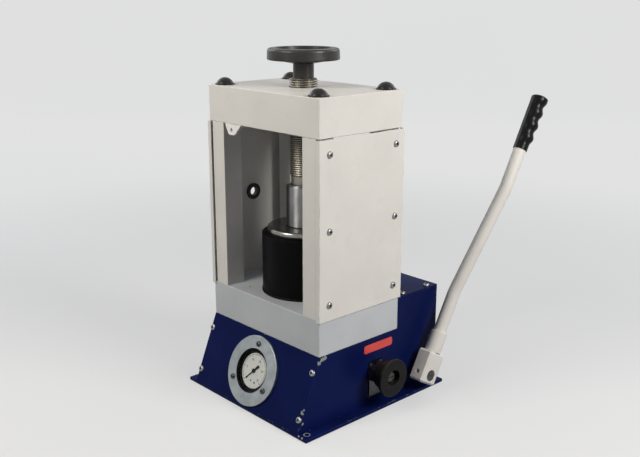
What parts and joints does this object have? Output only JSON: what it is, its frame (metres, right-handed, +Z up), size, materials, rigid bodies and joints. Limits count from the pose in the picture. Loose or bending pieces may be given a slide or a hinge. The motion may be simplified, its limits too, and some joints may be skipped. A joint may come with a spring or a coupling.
{
  "type": "hydraulic laboratory press",
  "caption": "Bench-top hydraulic laboratory press: pillar frame, ram with screw-set upper foot, hand pump lever, release knob and pressure gauge.",
  "frame": {"origin": "on the ram's axis, at the underside of the base plate", "axes": "+Z up along the ram and the lead screw, -Y towards the gauge at the front, +X towards the side with the pump lever"},
  "size_m": [0.2989, 0.4534, 0.4884],
  "materials": {
    "navy_paint": "semi-gloss navy enamel on sheet steel",
    "grey_paint": "light warm grey enamel",
    "white_paint": "white enamel",
    "black_paint": "satin black coating",
    "zinc_steel": "zinc-plated steel",
    "machined_steel": "turned and ground steel",
    "polished_steel": "polished hard steel",
    "aluminium": "satin turned aluminium",
    "brass": "machined brass",
    "black_plastic": "satin black moulding",
    "black_gloss": "glossy black moulding",
    "seal_rubber": "black rubber",
    "clear_glass": "clear flat glass",
    "red_plate": "plain red"
  },
  "bodies": {
    "frame": {"base_plate": "navy_paint", "base_side_left": "navy_paint", "base_side_right": "navy_paint", "front_panel": "navy_paint", "rear_cover": "navy_paint", "panel_screws": "zinc_steel", "lower_block": "grey_paint", "upper_block": "grey_paint", "column_front_left": "grey_paint", "column_front_right": "grey_paint", "column_rear_left": "grey_paint", "column_rear_right": "grey_paint", "tie_rods": "zinc_steel", "tie_rod_caps": "black_plastic", "side_cover_left": "grey_paint", "side_cover_right": "grey_paint", "side_cover_spacers": "zinc_steel", "side_cover_screws": "zinc_steel", "cover_grommet": "seal_rubber", "guard_catch": "white_paint", "ram_cylinder": "black_paint", "cylinder_gland": "brass", "return_springs": "machined_steel", "gauge_flange": "aluminium", "gauge_flange_screws": "zinc_steel", "gauge_case": "black_paint", "gauge_bezel": "black_plastic", "gauge_dial": "white_paint", "gauge_window": "clear_glass", "gauge_socket": "brass", "bourdon_tube": "brass", "gauge_pipe": "brass", "pump_block": "machined_steel", "pump_gland": "brass", "ram_pipe": "brass", "suction_pipe": "brass", "shaft_bearings": "brass", "oil_reservoir": "black_paint", "filler_plug": "zinc_steel", "valve_body": "zinc_steel", "valve_gland_nut": "zinc_steel", "label_plate": "red_plate"},
    "ram": {"ram_piston": "machined_steel", "piston_seal": "seal_rubber", "ram_platen": "polished_steel"},
    "foot": {"pressure_foot": "polished_steel", "foot_retaining_screws": "zinc_steel"},
    "screw": {"lead_screw": "machined_steel", "handwheel": "black_plastic", "handwheel_screw": "zinc_steel"},
    "lever": {"lever_shaft": "machined_steel", "lever_crank": "machined_steel", "lever_block": "grey_paint", "lever_socket": "grey_paint", "lever_tube": "grey_paint", "lever_grip": "black_gloss"},
    "plunger": {"pump_plunger": "machined_steel"},
    "valve": {"valve_spindle": "machined_steel", "release_knob": "black_plastic", "knob_screw": "zinc_steel"},
    "needle": {"gauge_needle": "black_paint"}
  },
  "joints": [
    {"name": "foot_travel", "type": "slide", "parent": "frame", "child": "foot", "axis": [0, 0, 1], "range_m": [0, 0.08]},
    {"name": "screw_spin", "type": "hinge", "parent": "foot", "child": "screw", "pos_m": [0, 0, 0.4], "axis": [0, 0, 1], "range_deg": [0, 9600.5]},
    {"name": "ram_lift", "type": "slide", "parent": "frame", "child": "ram", "axis": [0, 0, 1], "range_m": [-0.0065, 0], "deforming": ["return_springs"]},
    {"name": "lever_swing", "type": "hinge", "parent": "frame", "child": "lever", "pos_m": [0.1333, 0.1124, 0.0293], "axis": [1, 0, 0], "range_deg": [0, 60]},
    {"name": "pump_stroke", "type": "slide", "parent": "frame", "child": "plunger", "axis": [0, -1, 0], "range_m": [0, 0.0221]},
    {"name": "valve_turn", "type": "hinge", "parent": "frame", "child": "valve", "pos_m": [0.135, 0.031, 0.052], "axis": [1, 0, 0], "range_deg": [0, 360]},
    {"name": "gauge_sweep", "type": "hinge", "parent": "frame", "child": "needle", "pos_m": [0, -0.09403, 0.05226], "axis": [0, 0.9278, -0.373], "range_deg": [0, 270], "stiffness_Nm_per_rad": 0.0001, "springref_deg": -28.65}
  ],
  "couplings": [
    {"joint": "screw_spin", "follows": "foot_travel", "rad_per_m": 2094.4},
    {"joint": "pump_stroke", "follows": "lever_swing", "m_per_rad": 0.021008}
  ]
}
